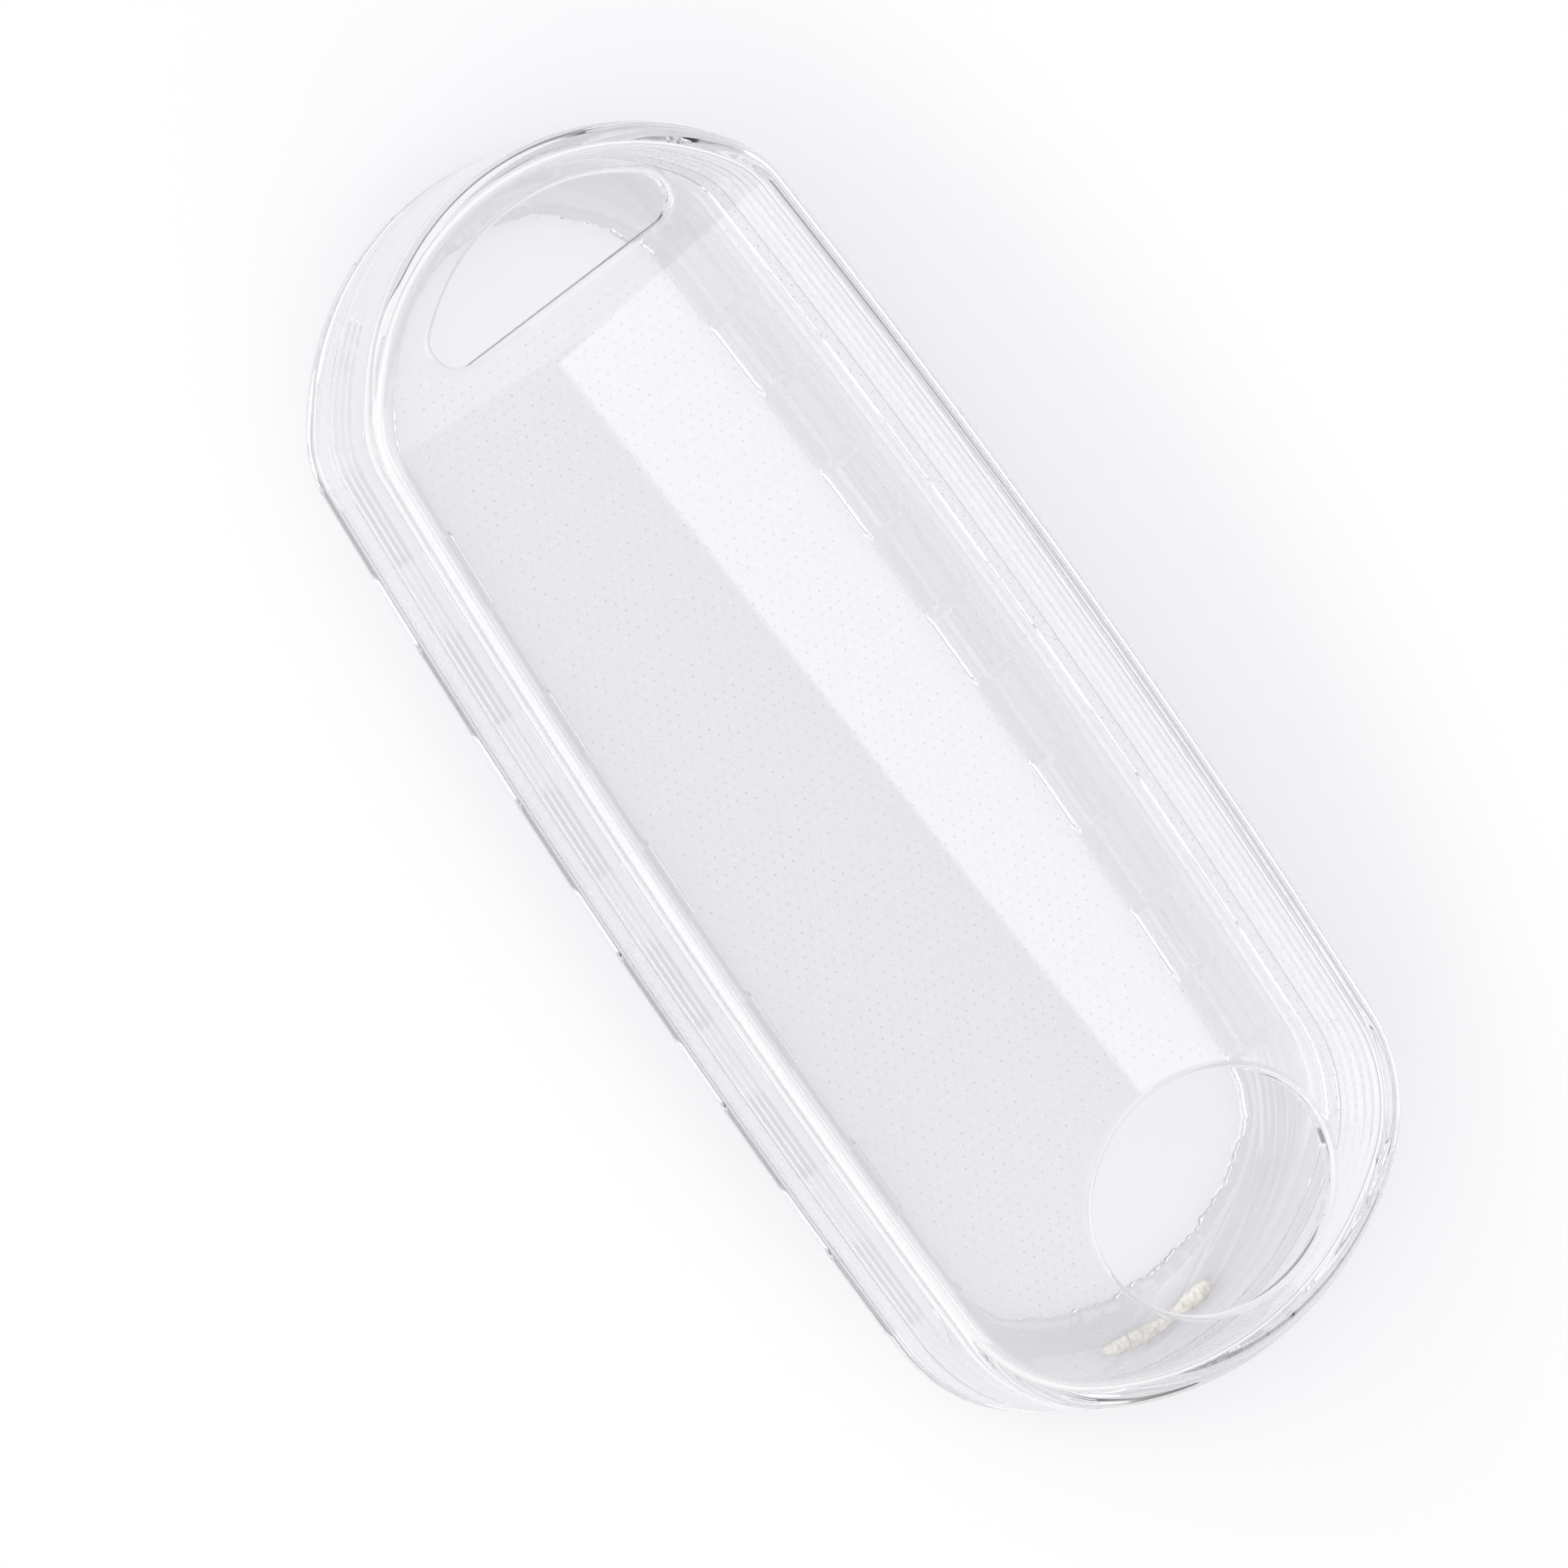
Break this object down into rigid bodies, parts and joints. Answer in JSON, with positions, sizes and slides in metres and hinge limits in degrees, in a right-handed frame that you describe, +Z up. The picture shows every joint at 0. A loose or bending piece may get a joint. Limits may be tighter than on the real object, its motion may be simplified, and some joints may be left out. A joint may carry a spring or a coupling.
{
  "type": "key fob cover",
  "caption": "Clear two-piece cover for a slim key fob, with a flat face, a loop window, an oval badge hole, ribbed side walls and a back rim round a large opening.",
  "frame": {"origin": "middle of the bounding box at the table, on the underside of the back rim", "axes": "+X across the cover, +Y along it towards the slim end with the loop window, +Z up out of the face"},
  "size_m": [0.0356, 0.087, 0.0126],
  "materials": {
    "front_shell": "clear glossy moulding with fine anti-cling dots on the inside of the face",
    "rear_frame": "clear glossy moulding"
  },
  "bodies": {
    "rear": {"rear_frame": "rear_frame"},
    "front": {"front_shell": "front_shell"}
  },
  "joints": [
    {"name": "front_lift", "type": "slide", "parent": "rear", "child": "front", "axis": [0, 0, 1], "range_m": [0, 0.02]}
  ]
}
